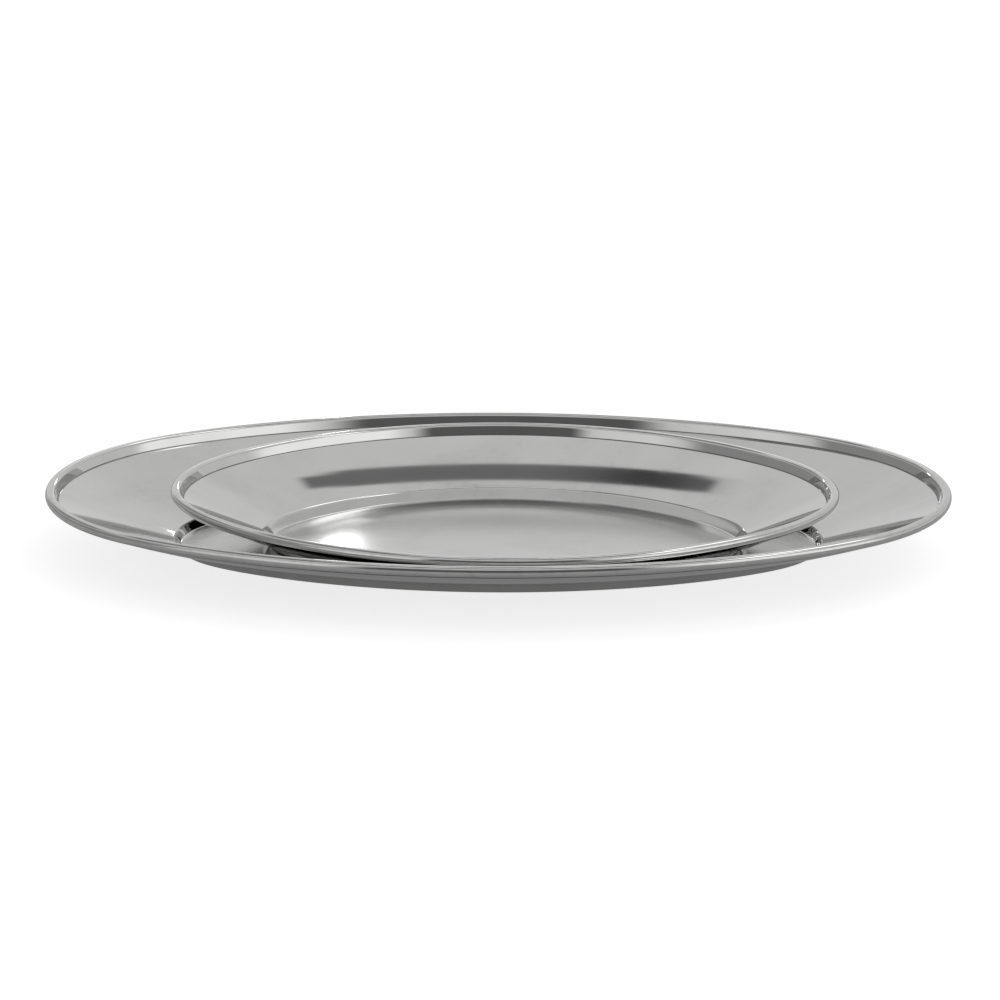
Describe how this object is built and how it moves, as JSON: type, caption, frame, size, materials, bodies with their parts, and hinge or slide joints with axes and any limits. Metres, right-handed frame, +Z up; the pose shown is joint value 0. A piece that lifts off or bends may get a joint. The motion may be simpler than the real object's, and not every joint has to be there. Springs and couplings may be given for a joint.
{
  "type": "oval serving platters",
  "caption": "Nested oval serving platters in polished steel sheet, each with a shallow well, a broad sloping flange and a rolled rim. The smaller stands in the larger's well and lifts out.",
  "frame": {"origin": "centre of the whole object's box, on the table under the large platter's foot", "axes": "+X along the long axis, +Y away from the viewer across the width, +Z up"},
  "size_m": [0.4, 0.26, 0.0287],
  "materials": {
    "large_steel": "polished stainless steel, faintly hazy",
    "small_steel": "polished stainless steel, faintly hazy"
  },
  "bodies": {
    "large": {"large_platter": "large_steel"},
    "small": {"small_platter": "small_steel"}
  },
  "joints": [
    {"name": "small_lift", "type": "slide", "parent": "large", "child": "small", "axis": [0, 0, 1], "range_m": [0, 0.06]}
  ]
}
